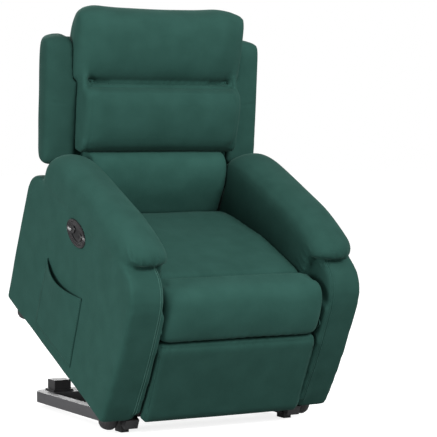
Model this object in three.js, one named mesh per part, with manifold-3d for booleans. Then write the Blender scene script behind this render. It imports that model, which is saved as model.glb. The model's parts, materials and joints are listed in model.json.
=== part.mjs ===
// Lift recliner chair: a padded recliner carried on a steel lift base, shown raised and tilted forward.
//
// Millimetres, +Z up, the sitter faces -Y, so the sitter's right hand is on the -X side.
// Pieces are drawn with the middle of the lift base as their origin.  At the end the whole chair
// is moved so that the origin is on the floor, under the middle of the chair's own box.
//
// The seat unit is drawn as it stands when lowered, with its feet on the floor, and its group
// then turns it up to the raised pose.  The back is drawn upright and its group leans it back.

import * as THREE from 'three';
import { mergeVertices } from 'three/addons/utils/BufferGeometryUtils.js';
import Module from 'manifold-3d';

const wasm = await Module();
wasm.setup();

// ---- Driving dimensions -------------------------------------------------------------------

const GAP = 0.3;                     // clearance between pieces that rest on each other
const PIN_CLEARANCE = 0.4;           // radial clearance of a pivot pin in its hole
const PIN_RADIUS = 8;

const RAISED_TILT = 24.77;           // degrees the seat unit tips forward when fully raised
const TILT_CENTRE = [-349.17, 60.92];   // y, z about which the whole lift turns the seat unit

const CHAIR_HALF_WIDTH = 386;        // outer face of a side panel
const PANEL_INNER = 278;             // inner face of a side panel
const PANEL_BOTTOM = 50;
const PANEL_TOP = 516;               // at its rear; the top rises a little towards the front
const PANEL_TOP_RISE = 16;
const PANEL_REAR = 376;
const FOOT_RADIUS = 30;

const BASE_OUTER = 293;              // half width of the floor frame
const BASE_FRONT = -318;
const BASE_REAR = 320;
const BASE_UNDERSIDE = 14;           // the frame is carried this far off the floor
const RAIL_WIDTH = 30;
const REAR_MEMBER_DEPTH = 95;
const BASE_TOP = 48.5;

const ARM_PIVOT_BASE = [-292.3, 80.06];  // lift arm on the floor frame
const ARM_PIVOT_SEAT = [100, 110];       // lift arm on the seat unit, lowered
const GUIDE_PIVOT_BASE = [-252.14, 85.11];
const GUIDE_PIVOT_SEAT = [150, 75];
const ARM_PLANE = [232, 242];        // X span of the lift arm plate
const ARM_HALF_HEIGHT = 17;
const GUIDE_PLANE = [246, 252];
const GUIDE_HALF_HEIGHT = 12;
const BRACKET_PLANE = [255, 262.7];
const SIDE_PLATE_PLANE = [272, 277.5];
const BACK_BRACKET_PLANE = [251, 257];
const FOOTREST_ARM_PLANE = [265.5, 270.5];
const CROSS_TUBE_ALONG = 110;        // cross tube, measured along the lift arm
const CROSS_TUBE_RADIUS = 16;

const LIFT_MOTOR_PIVOT = [250, 95];
const LIFT_ROD_PIN = [-150, 150];    // rod end on the cross tube's lug, lowered

const BACK_HINGE = [256, 365];
const REST_RECLINE = 10;             // degrees the back leans beyond upright at rest
const BACK_HALF_WIDTH = 262;
const HEAD_HALF_WIDTH = 288;
const MIDDLE_HALF_WIDTH = 272;
const WING_OUTER = 376;
const BETWEEN_ARMS = 238;            // half width of what sits between the arm pads
const RECLINE_MOTOR_PIVOT = [-285, 250];
const RECLINE_ROD_PIN = [290, 300];
const RECLINE_X = -70;

const FOOTREST_HINGE = [-390, 358];
const LEG_MOTOR_PIVOT = [-60, 235];
const LEG_ROD_PIN = [-332, 286];
const LEG_X = 90;

const BUTTON_RADIUS = 12;
const BUTTON_PLANES = [-CHAIR_HALF_WIDTH - 4, -CHAIR_HALF_WIDTH + 6];
const CONTROL_CENTRE = [-9, 480];
const BUTTON_CENTRES = { raise: [CONTROL_CENTRE[0] + 26, 480], lower: [CONTROL_CENTRE[0] - 26, 480] };

// ---- Materials ----------------------------------------------------------------------------

const fabric = () => new THREE.MeshStandardMaterial({ color: 0x30524a, roughness: 0.85, metalness: 0 });
const baseSteel = () => new THREE.MeshStandardMaterial({ color: 0x454545, roughness: 0.55, metalness: 0.4 });
const linkSteel = () => new THREE.MeshStandardMaterial({ color: 0x2c2e30, roughness: 0.5, metalness: 0.6 });
const rodSteel = () => new THREE.MeshStandardMaterial({ color: 0xb9bcc0, roughness: 0.25, metalness: 0.9 });
const blackPlastic = () => new THREE.MeshStandardMaterial({ color: 0x222426, roughness: 0.6, metalness: 0 });
const glossPlastic = () => new THREE.MeshStandardMaterial({ color: 0x0c0d0e, roughness: 0.15, metalness: 0 });
const plywood = () => new THREE.MeshStandardMaterial({ color: 0xa58560, roughness: 0.8, metalness: 0 });

// ---- Small geometry helpers ---------------------------------------------------------------

const radians = THREE.MathUtils.degToRad;

// The seat unit's own turn, as a map of a lowered [y, z] to the raised [y, z].
function raised([y, z]) {
  const turn = radians(RAISED_TILT);
  const [cy, cz] = TILT_CENTRE;
  return [
    cy + (y - cy) * Math.cos(turn) - (z - cz) * Math.sin(turn),
    cz + (y - cy) * Math.sin(turn) + (z - cz) * Math.cos(turn),
  ];
}

function angleTo([y0, z0], [y1, z1]) {
  return Math.atan2(z1 - z0, y1 - y0);
}

function distance([y0, z0], [y1, z1]) {
  return Math.hypot(y1 - y0, z1 - z0);
}

function turned([y, z], angle) {
  return [y * Math.cos(angle) - z * Math.sin(angle), y * Math.sin(angle) + z * Math.cos(angle)];
}

// A closed outline in the Y-Z plane with straight sides.
function straightOutline(points) {
  return new THREE.Shape(points.map(([y, z]) => new THREE.Vector2(y, z)));
}

// A closed outline in the Y-Z plane through [y, z, corner] points, each corner rounded off
// by a curve that starts and ends that far from it, or just short of halfway to its neighbour.
function roundedOutline(points) {
  const outline = new THREE.Shape();
  points.forEach(([y, z, corner], index) => {
    const before = points[(index + points.length - 1) % points.length];
    const after = points[(index + 1) % points.length];
    const towards = ([ty, tz]) => {
      const share = Math.min(corner / Math.hypot(ty - y, tz - z), 0.48);
      return [y + (ty - y) * share, z + (tz - z) * share];
    };
    const [start, end] = [towards(before), towards(after)];
    if (index === 0) outline.moveTo(...start);
    else outline.lineTo(...start);
    outline.quadraticCurveTo(y, z, ...end);
  });
  return outline;
}

function circleOutline([y, z], radius) {
  const circle = new THREE.Path();
  circle.absarc(y, z, radius, 0, Math.PI * 2, false);
  return circle;
}

// The hole that a pivot pin turns in.
function hole(pivot) {
  return circleOutline(pivot, PIN_RADIUS + PIN_CLEARANCE);
}

// A flat bar with round ends running from one pivot to another.
function barOutline(start, end, halfHeight) {
  const along = angleTo(start, end);
  const bar = new THREE.Shape();
  bar.absarc(start[0], start[1], halfHeight, along + Math.PI / 2, along + Math.PI * 1.5, false);
  bar.absarc(end[0], end[1], halfHeight, along - Math.PI / 2, along + Math.PI / 2, false);
  return bar;
}

const YZ_ACROSS_X = new THREE.Matrix4().makeBasis(
  new THREE.Vector3(0, 1, 0), new THREE.Vector3(0, 0, 1), new THREE.Vector3(1, 0, 0));

// Extrudes a Y-Z outline across X from one plane to another, with rounded edges if asked.
function acrossX(outline, planes, rounding = 0) {
  const [low, high] = [Math.min(...planes), Math.max(...planes)];
  const geometry = new THREE.ExtrudeGeometry(outline, {
    depth: high - low - 2 * rounding,
    curveSegments: outline.holes.length > 0 ? 8 : 5,
    bevelEnabled: rounding > 0,
    bevelThickness: rounding,
    bevelSize: rounding,
    bevelOffset: -rounding,
    bevelSegments: 2,
  });
  return geometry.applyMatrix4(YZ_ACROSS_X).translate(low + rounding, 0, 0);
}

// Sweeps a Y-Z outline across X like a stuffed cushion, drawing it in towards an anchor at each
// end.  An end's rounding starts `reach` short of its plane, where the outline keeps only the
// shares `keep` of its size along Y and Z.  The anchor is a height and a [height -> y] line.
function cushion(outline, anchor, ends) {
  const points = outline.getPoints(5).slice(0, -1);
  if (THREE.ShapeUtils.isClockWise(points)) points.reverse();
  const steps = [0, 1, 2, 3, 4].map((step) => step * Math.PI / 8);
  const rings = ends.flatMap(({ plane, reach, keep }) => {
    const inward = Math.sign(ends[0].plane + ends[1].plane - 2 * plane);
    return steps.map((angle) => ({
      x: plane + inward * reach * (1 - Math.cos(angle)),
      shares: keep.map((share) => share + (1 - share) * Math.sin(angle)),
    }));
  }).sort((one, other) => one.x - other.x);
  const positions = rings.flatMap(({ x, shares: [shareY, shareZ] }) => points.flatMap((point) => {
    const lineY = anchor.line(point.y);
    return [x, lineY + (point.x - lineY) * shareY, anchor.height + (point.y - anchor.height) * shareZ];
  }));
  const count = points.length;
  const faces = [];
  for (let ring = 0; ring + 1 < rings.length; ring += 1) {
    for (let point = 0; point < count; point += 1) {
      const [here, next] = [ring * count + point, ring * count + (point + 1) % count];
      faces.push(here, next, next + count, here, next + count, here + count);
    }
  }
  const lastRing = (rings.length - 1) * count;
  THREE.ShapeUtils.triangulateShape(points, []).forEach(([a, b, c]) => {
    faces.push(c, b, a, lastRing + a, lastRing + b, lastRing + c);
  });
  const geometry = new THREE.BufferGeometry();
  geometry.setAttribute('position', new THREE.Float32BufferAttribute(positions, 3));
  geometry.setIndex(faces);
  geometry.computeVertexNormals();
  return geometry;
}

function block([x0, x1], [y0, y1], [z0, z1]) {
  const geometry = new THREE.BoxGeometry(Math.abs(x1 - x0), Math.abs(y1 - y0), Math.abs(z1 - z0));
  return geometry.translate((x0 + x1) / 2, (y0 + y1) / 2, (z0 + z1) / 2);
}

// A round bar along X between two planes, centred on a [y, z].
function roundBar([x0, x1], [y, z], radius, sides = 20) {
  const geometry = new THREE.CylinderGeometry(radius, radius, Math.abs(x1 - x0), sides);
  return geometry.rotateZ(Math.PI / 2).translate((x0 + x1) / 2, y, z);
}

// Turns a profile of [radius, distance along Y] round the Y axis.
function turnedAlongY(profile, sides = 20) {
  return new THREE.LatheGeometry(profile.map(([r, d]) => new THREE.Vector2(r, d)), sides);
}

function toSolid(geometry) {
  const bare = geometry.clone();
  bare.deleteAttribute('normal');
  bare.deleteAttribute('uv');
  const merged = mergeVertices(bare, 1e-3);
  return new wasm.Manifold(new wasm.Mesh({
    numProp: 3,
    vertProperties: new Float32Array(merged.attributes.position.array),
    triVerts: new Uint32Array(merged.index.array),
  }));
}

function fromSolid(solid) {
  const result = solid.getMesh();
  const geometry = new THREE.BufferGeometry();
  geometry.setAttribute('position', new THREE.BufferAttribute(new Float32Array(result.vertProperties), 3));
  geometry.setIndex(new THREE.BufferAttribute(new Uint32Array(result.triVerts), 1));
  geometry.computeVertexNormals();
  return geometry;
}

function join(first, ...others) {
  return fromSolid(others.reduce((whole, piece) => whole.add(toSolid(piece)), toSolid(first)));
}

function cut(body, ...tools) {
  return fromSolid(tools.reduce((whole, tool) => whole.subtract(toSolid(tool)), toSolid(body)));
}

function add(group, name, geometry, material) {
  const mesh = new THREE.Mesh(geometry, material);
  mesh.name = name;
  group.add(mesh);
}

// Calls build for each side of the chair: the sitter's left is +X and the right is -X.
function bothSides(build) {
  build('left', 1);
  build('right', -1);
}

function onSide(side, [near, far]) {
  return [side * near, side * far];
}

// A pivot pin that grows out of one plate and ends just inside the far face of another.
function pin(side, fromPlane, throughPlane, centre) {
  return roundBar(onSide(side, [fromPlane[1] - 1, throughPlane[1] - 0.5]), centre, PIN_RADIUS);
}

// A group that holds a link drawn along +Y from its pivot, turned to point at a target.
function pointingGroup(pivot, target) {
  const group = new THREE.Group();
  group.position.set(0, pivot[0], pivot[1]);
  group.rotation.x = angleTo(pivot, target);
  return group;
}

// ---- Floor frame --------------------------------------------------------------------------

const BASE_INNER = BASE_OUTER - RAIL_WIDTH;
const REAR_MEMBER_FRONT = BASE_REAR - REAR_MEMBER_DEPTH;
const FRONT_BLOCK_LENGTH = 42;
const FRONT_BLOCK_WIDTH = 25;
const CROSS_BAR = { y: [-212, -187], z: [24, 46] };
const REAR_PAD = { x: [50, 120], y: [245, 305] };
const REST_FOOT = { x: [186, 255], y: [240, 306], top: 55 };
const REST_POST = { x: [192, 249], y: [246, 300], top: 85 };
const MOTOR_EAR = { planes: [27, 33], halfWidth: 20, radius: 16 };

function rearMember() {
  const corner = 40;
  const plan = new THREE.Shape();
  plan.moveTo(-BASE_OUTER, REAR_MEMBER_FRONT);
  plan.lineTo(BASE_OUTER, REAR_MEMBER_FRONT);
  plan.lineTo(BASE_OUTER, BASE_REAR - corner);
  plan.absarc(BASE_OUTER - corner, BASE_REAR - corner, corner, 0, Math.PI / 2, false);
  plan.absarc(-BASE_OUTER + corner, BASE_REAR - corner, corner, Math.PI / 2, Math.PI, false);
  const height = BASE_TOP - BASE_UNDERSIDE;
  const channel = new THREE.ExtrudeGeometry(plan, { depth: height, curveSegments: 6, bevelEnabled: false });
  channel.translate(0, 0, BASE_UNDERSIDE);
  const [py, pz] = LIFT_MOTOR_PIVOT;
  const ear = new THREE.Shape();
  ear.moveTo(py - MOTOR_EAR.halfWidth, BASE_TOP - 2);
  ear.lineTo(py + MOTOR_EAR.halfWidth, BASE_TOP - 2);
  ear.absarc(py, pz, MOTOR_EAR.radius, 0, Math.PI, false);
  ear.holes.push(hole(LIFT_MOTOR_PIVOT));
  return join(channel, ...[1, -1].map((side) => acrossX(ear, onSide(side, MOTOR_EAR.planes))));
}

function buildFloorFrame(chair) {
  add(chair, 'base_rear_member', rearMember(), baseSteel());
  const crossBar = block([-BASE_INNER + GAP, BASE_INNER - GAP], CROSS_BAR.y, CROSS_BAR.z);
  add(chair, 'base_cross_bar', crossBar, baseSteel());
  bothSides((name, side) => {
    const railPlanes = onSide(side, [BASE_INNER, BASE_OUTER]);
    const blockSpan = [BASE_FRONT, BASE_FRONT + FRONT_BLOCK_LENGTH];
    const railSpan = [blockSpan[1] + GAP, REAR_MEMBER_FRONT - GAP];
    add(chair, `base_rail_${name}`, block(railPlanes, railSpan, [BASE_UNDERSIDE, BASE_TOP]), baseSteel());

    const blockPlanes = onSide(side, [BASE_OUTER - FRONT_BLOCK_WIDTH, BASE_OUTER]);
    add(chair, `base_front_foot_${name}`, block(blockPlanes, blockSpan, [0, BASE_TOP]), blackPlastic());
    const pad = block(onSide(side, REAR_PAD.x), REAR_PAD.y, [0, BASE_UNDERSIDE - GAP]);
    add(chair, `base_rear_pad_${name}`, pad, blackPlastic());

    const restFoot = block(onSide(side, REST_FOOT.x), REST_FOOT.y, [BASE_TOP + GAP, REST_FOOT.top]);
    const restPost = block(onSide(side, REST_POST.x), REST_POST.y, [REST_FOOT.top - 1, REST_POST.top]);
    add(chair, `rear_rest_block_${name}`, join(restFoot, restPost), blackPlastic());

    const [ay, az] = ARM_PIVOT_BASE;
    const [gy, gz] = GUIDE_PIVOT_BASE;
    const plate = new THREE.Shape();
    plate.moveTo(BASE_FRONT + 2, BASE_UNDERSIDE + 2);
    plate.lineTo(CROSS_BAR.y[0] - 4, BASE_UNDERSIDE + 2);
    plate.lineTo(CROSS_BAR.y[0] - 4, BASE_TOP);
    plate.absarc(gy, gz, 17, -0.4, Math.PI / 2, false);
    plate.absarc(ay, az, 18, Math.PI / 2, Math.PI, false);
    plate.holes.push(hole(ARM_PIVOT_BASE), hole(GUIDE_PIVOT_BASE));
    add(chair, `base_pivot_bracket_${name}`, acrossX(plate, onSide(side, BRACKET_PLANE)), linkSteel());
  });
}

// ---- Lift linkage -------------------------------------------------------------------------

const ARM_LENGTH = distance(ARM_PIVOT_BASE, ARM_PIVOT_SEAT);
const ARM_LOWERED_ANGLE = angleTo(ARM_PIVOT_BASE, ARM_PIVOT_SEAT);
const ARM_RAISED_ANGLE = angleTo(ARM_PIVOT_BASE, raised(ARM_PIVOT_SEAT));

// The rod end's pin, seen from the arm's own pivot with the arm along +Y.
const LUG_PIN = turned(
  [LIFT_ROD_PIN[0] - ARM_PIVOT_BASE[0], LIFT_ROD_PIN[1] - ARM_PIVOT_BASE[1]], -ARM_LOWERED_ANGLE);

const RAISED_ROD_PIN = (() => {
  const [y, z] = turned(LUG_PIN, ARM_RAISED_ANGLE);
  return [ARM_PIVOT_BASE[0] + y, ARM_PIVOT_BASE[1] + z];
})();

function buildLiftLinkage(chair) {
  const arms = pointingGroup(ARM_PIVOT_BASE, raised(ARM_PIVOT_SEAT));
  chair.add(arms);
  bothSides((name, side) => {
    const bar = acrossX(barOutline([0, 0], [ARM_LENGTH, 0], ARM_HALF_HEIGHT), onSide(side, ARM_PLANE));
    const basePin = pin(side, ARM_PLANE, BRACKET_PLANE, [0, 0]);
    const seatPin = pin(side, ARM_PLANE, SIDE_PLATE_PLANE, [ARM_LENGTH, 0]);
    add(arms, `lift_arm_${name}`, join(bar, basePin, seatPin), linkSteel());
  });
  const tubeEnd = ARM_PLANE[0] - GAP;
  const tube = roundBar([-tubeEnd, tubeEnd], [CROSS_TUBE_ALONG, 0], CROSS_TUBE_RADIUS);
  const lug = acrossX(barOutline([CROSS_TUBE_ALONG, 0], LUG_PIN, 13), [-6, 6]);
  add(arms, 'lift_cross_tube', join(tube, lug), linkSteel());

  const guides = pointingGroup(GUIDE_PIVOT_BASE, raised(GUIDE_PIVOT_SEAT));
  chair.add(guides);
  const guideLength = distance(GUIDE_PIVOT_BASE, GUIDE_PIVOT_SEAT);
  bothSides((name, side) => {
    const bar = acrossX(barOutline([0, 0], [guideLength, 0], GUIDE_HALF_HEIGHT), onSide(side, GUIDE_PLANE));
    add(guides, `guide_link_${name}`, join(bar, pin(side, GUIDE_PLANE, BRACKET_PLANE, [0, 0])), linkSteel());
  });
}

// ---- Actuators ----------------------------------------------------------------------------

// A linear actuator drawn along +Y from its tail pin: the motor with its outer tube, and the rod.
function addActuator(parent, label, tailPin, rodPin, size) {
  const group = pointingGroup(tailPin, rodPin);
  group.position.x = size.x;
  parent.add(group);
  const bore = size.rodRadius + PIN_CLEARANCE;
  const boreStart = 60;
  const tube = turnedAlongY([
    [0, -size.tubeRadius * 0.8], [size.tubeRadius * 0.9, -size.tubeRadius * 0.8], [size.tubeRadius, 0],
    [size.tubeRadius, size.tubeLength], [bore, size.tubeLength], [bore, boreStart], [0, boreStart],
  ]);
  const motorPlanes = onSide(size.motorSide, [size.tubeRadius * 0.6, size.tubeRadius + 85]);
  const motor = roundBar(motorPlanes, [54, 0], size.motorRadius, 22);
  const tailBolt = roundBar([-size.tailReach, size.tailReach], [0, 0], PIN_RADIUS);
  add(group, `${label}_motor`, join(tube, motor, tailBolt), blackPlastic());

  const length = distance(tailPin, rodPin);
  const cheekInner = size.lugHalfWidth + 1.5;
  const cheekOuter = cheekInner + 5;
  const bridgeSpan = [length - 44, length - 30];
  const rod = turnedAlongY([
    [0, size.rodStart], [size.rodRadius, size.rodStart],
    [size.rodRadius, bridgeSpan[0] + 2], [0, bridgeSpan[0] + 2],
  ]);
  const bridge = block([-cheekOuter, cheekOuter], bridgeSpan, [-11, 11]);
  const cheeks = [1, -1].map((side) => acrossX(
    barOutline([bridgeSpan[1] - 4, 0], [length, 0], 11), onSide(side, [cheekInner, cheekOuter])));
  add(group, `${label}_rod`, join(rod, bridge, ...cheeks), rodSteel());
}

// ---- Seat unit: steelwork ----------------------------------------------------------------

const SIDE_PLATE_OUTLINE = [
  [-345, 200], [-402, 335], [-402, 374], [-374, 374], [-345, 345], [205, 345], [230, 392],
  [284, 392], [296, 345], [296, 130], [176, 92], [172, 57], [130, 57], [70, 92], [40, 140], [-120, 200],
];
const FRONT_RAIL = { y: [-345, -315], z: [190, 220] };
const REAR_RAIL = { y: [262, 292], z: [134, 164] };
const DECK = { y: [-280, 190], z: [318, 326] };

function motorEars(x, [y, z], rootLine) {
  const ear = new THREE.Shape();
  const down = rootLine < z;
  ear.moveTo(y - 18, rootLine);
  if (down) {
    ear.lineTo(y + 18, rootLine);
    ear.absarc(y, z, 15, 0, Math.PI, false);
  } else {
    ear.absarc(y, z, 15, Math.PI, Math.PI * 2, false);
    ear.lineTo(y + 18, rootLine);
  }
  ear.holes.push(hole([y, z]));
  return [[x - 28, x - 23], [x + 23, x + 28]].map((planes) => acrossX(ear, planes));
}

function frontRail() {
  const span = SIDE_PLATE_PLANE[0] - GAP;
  const rail = block([-span, span], FRONT_RAIL.y, FRONT_RAIL.z);
  const shelf = block([RECLINE_X - 34, RECLINE_X + 34], [FRONT_RAIL.y[1] - 2, -262], [205, 213]);
  return join(rail, shelf, ...motorEars(RECLINE_X, RECLINE_MOTOR_PIVOT, 212));
}

function seatDeck() {
  const board = block([-258, 258], DECK.y, DECK.z);
  return join(board, ...motorEars(LEG_X, LEG_MOTOR_PIVOT, DECK.z[0] + 1));
}

function buildSteelwork(seat) {
  bothSides((name, side) => {
    const plate = straightOutline(SIDE_PLATE_OUTLINE);
    plate.holes.push(...[ARM_PIVOT_SEAT, GUIDE_PIVOT_SEAT, BACK_HINGE, FOOTREST_HINGE].map(hole));
    add(seat, `mechanism_plate_${name}`, acrossX(plate, onSide(side, SIDE_PLATE_PLANE)), linkSteel());
  });
  add(seat, 'seat_front_rail', frontRail(), linkSteel());
  const span = SIDE_PLATE_PLANE[0] - GAP;
  add(seat, 'seat_rear_rail', block([-span, span], REAR_RAIL.y, REAR_RAIL.z), linkSteel());
  add(seat, 'seat_deck', seatDeck(), plywood());
  add(seat, 'power_supply', block([150, 222], [-20, 120], [270, DECK.z[0] - GAP]), blackPlastic());
}

// ---- Seat unit: upholstered body ---------------------------------------------------------

const CUSHION_BOTTOM = DECK.z[1] + GAP;
const FRONT_HALF_WIDTH = 264;        // the bolster and the footrest, between the panels' fronts
const BOLSTER_FRONT = -415;
const BOLSTER_SEAM = -286;
const PAD_INNER = 242;
const PAD_OUTER = 390;
const RUNNER = { x: [257, 300], y: [-372, -341], underside: 20 };
const FOOT_X = 331;
const FOOT_Y = { front: -323, rear: 328 };
const CONTROL_HALF_SIZE = [66, 36];
const POCKET_PROUD = 4;              // how far the pocket stands out of the panel
const BEZEL_PLANES = [-CHAIR_HALF_WIDTH - 2.5, -CHAIR_HALF_WIDTH + 8];

const PANEL_TOP_ENDS = [-302, 285];

function panelTop(y) {
  return PANEL_TOP + PANEL_TOP_RISE * (PANEL_TOP_ENDS[1] - y) / (PANEL_TOP_ENDS[1] - PANEL_TOP_ENDS[0]);
}

function sidePanelOutline() {
  const outline = new THREE.Shape();
  outline.moveTo(-PANEL_REAR, PANEL_BOTTOM);
  outline.lineTo(PANEL_REAR, PANEL_BOTTOM);
  outline.lineTo(PANEL_REAR, 440);
  outline.bezierCurveTo(PANEL_REAR, 490, 330, PANEL_TOP, PANEL_TOP_ENDS[1], PANEL_TOP);
  outline.lineTo(PANEL_TOP_ENDS[0], panelTop(PANEL_TOP_ENDS[0]));
  outline.bezierCurveTo(-360, panelTop(-360), -409, 490, -409, 430);
  outline.bezierCurveTo(-412, 300, -396, 130, -PANEL_REAR, PANEL_BOTTOM);
  return outline;
}

function armPad(side) {
  const bottom = (y) => panelTop(y) + 3;
  const outline = roundedOutline([
    [-296, bottom(-296), 20], [-352, bottom(-352) + 9, 18], [-343, 590, 50], [-200, 626, 70],
    [0, 634, 60], [220, 632, 70], [288, 594, 50], [286, bottom(286), 12],
  ]);
  const lip = roundedOutline([[-296, 560, 10], [-290, 440, 40], [250, 440, 30], [250, 560, 10]]);
  const pillow = cushion(outline, { height: bottom(286), line: () => 150 }, [
    { plane: side * PAD_INNER, reach: 84, keep: [0.9, 0.5] },
    { plane: side * PAD_OUTER, reach: 66, keep: [0.8, 0.56] },
  ]);
  const drop = acrossX(lip, onSide(side, [PAD_INNER, PANEL_INNER - 1]), 6);
  const besidePanel = straightOutline([
    [-420, 400], [400, 400], [400, panelTop(400) + 1], [-420, panelTop(-420) + 1],
  ]);
  const panelSpace = acrossX(besidePanel, onSide(side, [PANEL_INNER - 0.7, 420]));
  return cut(join(pillow, drop), panelSpace);
}

function frontBolster() {
  const outline = roundedOutline([
    [BOLSTER_SEAM, CUSHION_BOTTOM, 16], [BOLSTER_SEAM, 478, 16], [-392, 484, 60],
    [BOLSTER_FRONT, 400, 60], [BOLSTER_FRONT + 6, CUSHION_BOTTOM, 22],
  ]);
  const ends = [-1, 1].map((side) => ({ plane: side * FRONT_HALF_WIDTH, reach: 36, keep: [0.8, 0.88] }));
  const full = cushion(outline, { height: CUSHION_BOTTOM + 50, line: () => BOLSTER_SEAM }, ends);
  const besideArm = [-340, BOLSTER_SEAM + 20];
  const trims = [1, -1].map((side) => block(onSide(side, [BETWEEN_ARMS, 300]), besideArm, [400, 520]));
  return cut(full, ...trims);
}

function seatCushion() {
  const rear = BOLSTER_SEAM + GAP * 2;
  const outline = roundedOutline([
    [rear, CUSHION_BOTTOM, 16], [rear, 474, 18], [-60, 474, 60], [140, 446, 40], [223, 424, 24],
    [220, CUSHION_BOTTOM, 16],
  ]);
  return acrossX(outline, [-BETWEEN_ARMS, BETWEEN_ARMS], 7);
}

function foot() {
  const standHeight = PANEL_BOTTOM - GAP;
  const profile = [
    [0, 0], [14, 0], [22, 4], [28, 13], [FOOT_RADIUS, 26], [FOOT_RADIUS, standHeight], [0, standHeight],
  ];
  return turnedAlongY(profile, 18).rotateX(Math.PI / 2);
}

// A flat pouch sewn to the outside of the right panel, open along its top.
function sidePocket() {
  const sheet = 1.2;
  const outline = straightOutline([
    [128, 316], [60, 297], [0, 292], [-60, 300], [-124, 323], [-120, 95], [138, 95],
  ]);
  const room = straightOutline([[118, 340], [-116, 340], [-112, 103], [128, 103]]);
  const [outerFace, innerFace] = [-CHAIR_HALF_WIDTH - POCKET_PROUD, -CHAIR_HALF_WIDTH - GAP];
  const outer = acrossX(outline, [outerFace, innerFace]);
  const inside = acrossX(room, [outerFace + sheet, innerFace - sheet]);
  return cut(outer, inside);
}

function ovalOutline([y, z], halfLength, halfHeight) {
  const oval = new THREE.Shape();
  oval.absellipse(y, z, halfLength, halfHeight, 0, Math.PI * 2, false);
  return new THREE.Shape(oval.getPoints(16));
}

function controlBezel() {
  const outline = ovalOutline(CONTROL_CENTRE, ...CONTROL_HALF_SIZE);
  Object.values(BUTTON_CENTRES).forEach((centre) => {
    outline.holes.push(circleOutline(centre, BUTTON_RADIUS + PIN_CLEARANCE));
  });
  return acrossX(outline, BEZEL_PLANES);
}

// The control is let into the right panel's cover.
function controlRecess() {
  const [halfLength, halfHeight] = CONTROL_HALF_SIZE;
  const outline = ovalOutline(CONTROL_CENTRE, halfLength + 1, halfHeight + 1);
  return acrossX(outline, [-CHAIR_HALF_WIDTH - 1, BEZEL_PLANES[1] + GAP]);
}

function buildUpholsteredBody(seat) {
  bothSides((name, side) => {
    const board = acrossX(sidePanelOutline(), onSide(side, [PANEL_INNER, CHAIR_HALF_WIDTH]), 5);
    const panel = side < 0 ? cut(board, controlRecess()) : board;
    add(seat, `side_panel_${name}`, panel, fabric());
    add(seat, `arm_pad_${name}`, armPad(side), fabric());
    const runner = block(onSide(side, RUNNER.x), RUNNER.y, [RUNNER.underside, PANEL_BOTTOM - GAP]);
    add(seat, `panel_runner_${name}`, runner, blackPlastic());
    Object.entries(FOOT_Y).forEach(([end, y]) => {
      add(seat, `foot_${end}_${name}`, foot().translate(side * FOOT_X, y, 0), blackPlastic());
    });
  });
  add(seat, 'seat_cushion', seatCushion(), fabric());
  add(seat, 'front_bolster', frontBolster(), fabric());
  const skirt = block([-SIDE_PLATE_PLANE[0] + 1, SIDE_PLATE_PLANE[0] - 1], [362, 368], [64, 300]);
  add(seat, 'rear_skirt', skirt, fabric());
  add(seat, 'side_pocket', sidePocket(), fabric());
  add(seat, 'control_bezel', controlBezel(), glossPlastic());
  Object.entries(BUTTON_CENTRES).forEach(([name, centre]) => {
    const button = roundBar(BUTTON_PLANES, centre, BUTTON_RADIUS);
    add(seat, `${name}_button`, button, glossPlastic());
  });
}

// ---- Back ---------------------------------------------------------------------------------

// The back board's front face, as y for a height z: nearly upright low down, then leaning back.
const BOARD_BEND = 515;
const BOARD_TOP = 905;
const BOARD_THICKNESS = 25;

function boardFront(z) {
  return z < BOARD_BEND ? 336 + (z - BOARD_BEND) * 0.144 : 336 + (z - BOARD_BEND) * 0.337;
}

const COVER_THICKNESS = 16;

function leaningSlab(offset, thickness) {
  const heights = [335, BOARD_BEND, BOARD_TOP];
  const front = heights.map((z) => [boardFront(z) + offset, z]);
  const rear = heights.map((z) => [boardFront(z) + offset + thickness, z]).reverse();
  return straightOutline([...front, ...rear]);
}

// The cover goes up the board's rear and folds forward over its top edge.
function rearCover() {
  const planes = [-BACK_HALF_WIDTH, BACK_HALF_WIDTH];
  const slab = acrossX(leaningSlab(BOARD_THICKNESS + GAP, COVER_THICKNESS), planes);
  const front = boardFront(BOARD_TOP);
  const fold = roundedOutline([
    [front, BOARD_TOP + GAP, 2], [front, BOARD_TOP + 12, 10],
    [front + BOARD_THICKNESS + COVER_THICKNESS, BOARD_TOP + 12, 16],
    [front + BOARD_THICKNESS + COVER_THICKNESS, BOARD_TOP - 8, 2],
    [front + BOARD_THICKNESS + GAP, BOARD_TOP - 8, 2], [front + BOARD_THICKNESS + GAP, BOARD_TOP + GAP, 1],
  ]);
  return join(slab, acrossX(fold, planes));
}

function backFrame() {
  const board = acrossX(leaningSlab(0, BOARD_THICKNESS), [-250, 250]);
  const [py, pz] = RECLINE_ROD_PIN;
  const lever = straightOutline([
    [328, 345], [py - 2, pz + 13], [py - 12, pz], [py - 4, pz - 12], [334, 338],
  ]);
  return join(board, acrossX(lever, [RECLINE_X - 5, RECLINE_X + 5]));
}

function headRoll() {
  const [low, high] = [818, 1036];
  const outline = roundedOutline([
    [284, low, 45], [264, 915, 80], [284, high - 4, 70], [404, high + 4, 60], [464, 975, 50],
    [boardFront(BOARD_TOP) - 2, BOARD_TOP, 10], [boardFront(low) - 1, low, 22],
  ]);
  const anchor = { height: (low + high) / 2, line: () => 315 };
  const keep = [0.15, 0.88];
  const ends = [-1, 1].map((side) => ({ plane: side * HEAD_HALF_WIDTH, reach: 125, keep }));
  return cushion(outline, anchor, ends);
}

function lumbarRoll() {
  const [low, high] = [398, 602];
  const outline = roundedOutline([
    [236, low, 20], [230, 428, 10], [206, 512, 50], [222, high, 50], [boardFront(high) - 1, high, 22],
    [boardFront(BOARD_BEND) - 1, BOARD_BEND, 10], [boardFront(low) - 1, low, 22],
  ]);
  return acrossX(outline, [-BETWEEN_ARMS, BETWEEN_ARMS], 6);
}

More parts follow.
